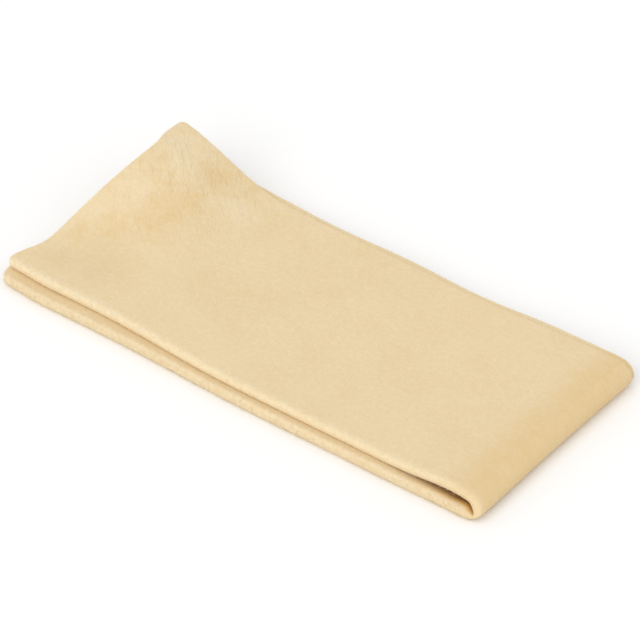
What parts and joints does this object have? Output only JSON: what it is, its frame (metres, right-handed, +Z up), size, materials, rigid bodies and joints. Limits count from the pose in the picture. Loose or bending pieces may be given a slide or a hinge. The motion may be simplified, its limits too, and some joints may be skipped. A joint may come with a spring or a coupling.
{
  "type": "chamois leather",
  "caption": "Chamois leather cloth for wiping and drying, folded along its length and turned back across its end into a flat pad, with one loose corner curled up.",
  "frame": {"origin": "middle of the pad's box, on the surface the pad lies on", "axes": "+X along the pad towards the end fold, +Y from the folded front edge towards the free edges at the back, +Z up"},
  "size_m": [0.2528, 0.115, 0.0277],
  "materials": {
    "chamois": "napped suede, fully matt, pale cream-tan with soft mottling"
  },
  "bodies": {
    "lower": {"lower_leaf": "chamois", "end_fold": "chamois"},
    "upper": {"upper_leaf": "chamois"}
  },
  "joints": [
    {"name": "unfold", "type": "hinge", "parent": "lower", "child": "upper", "pos_m": [0.11808, 0, 0.0063], "axis": [0, 1, 0], "range_deg": [0, 175], "deforming": ["end_fold"]}
  ]
}
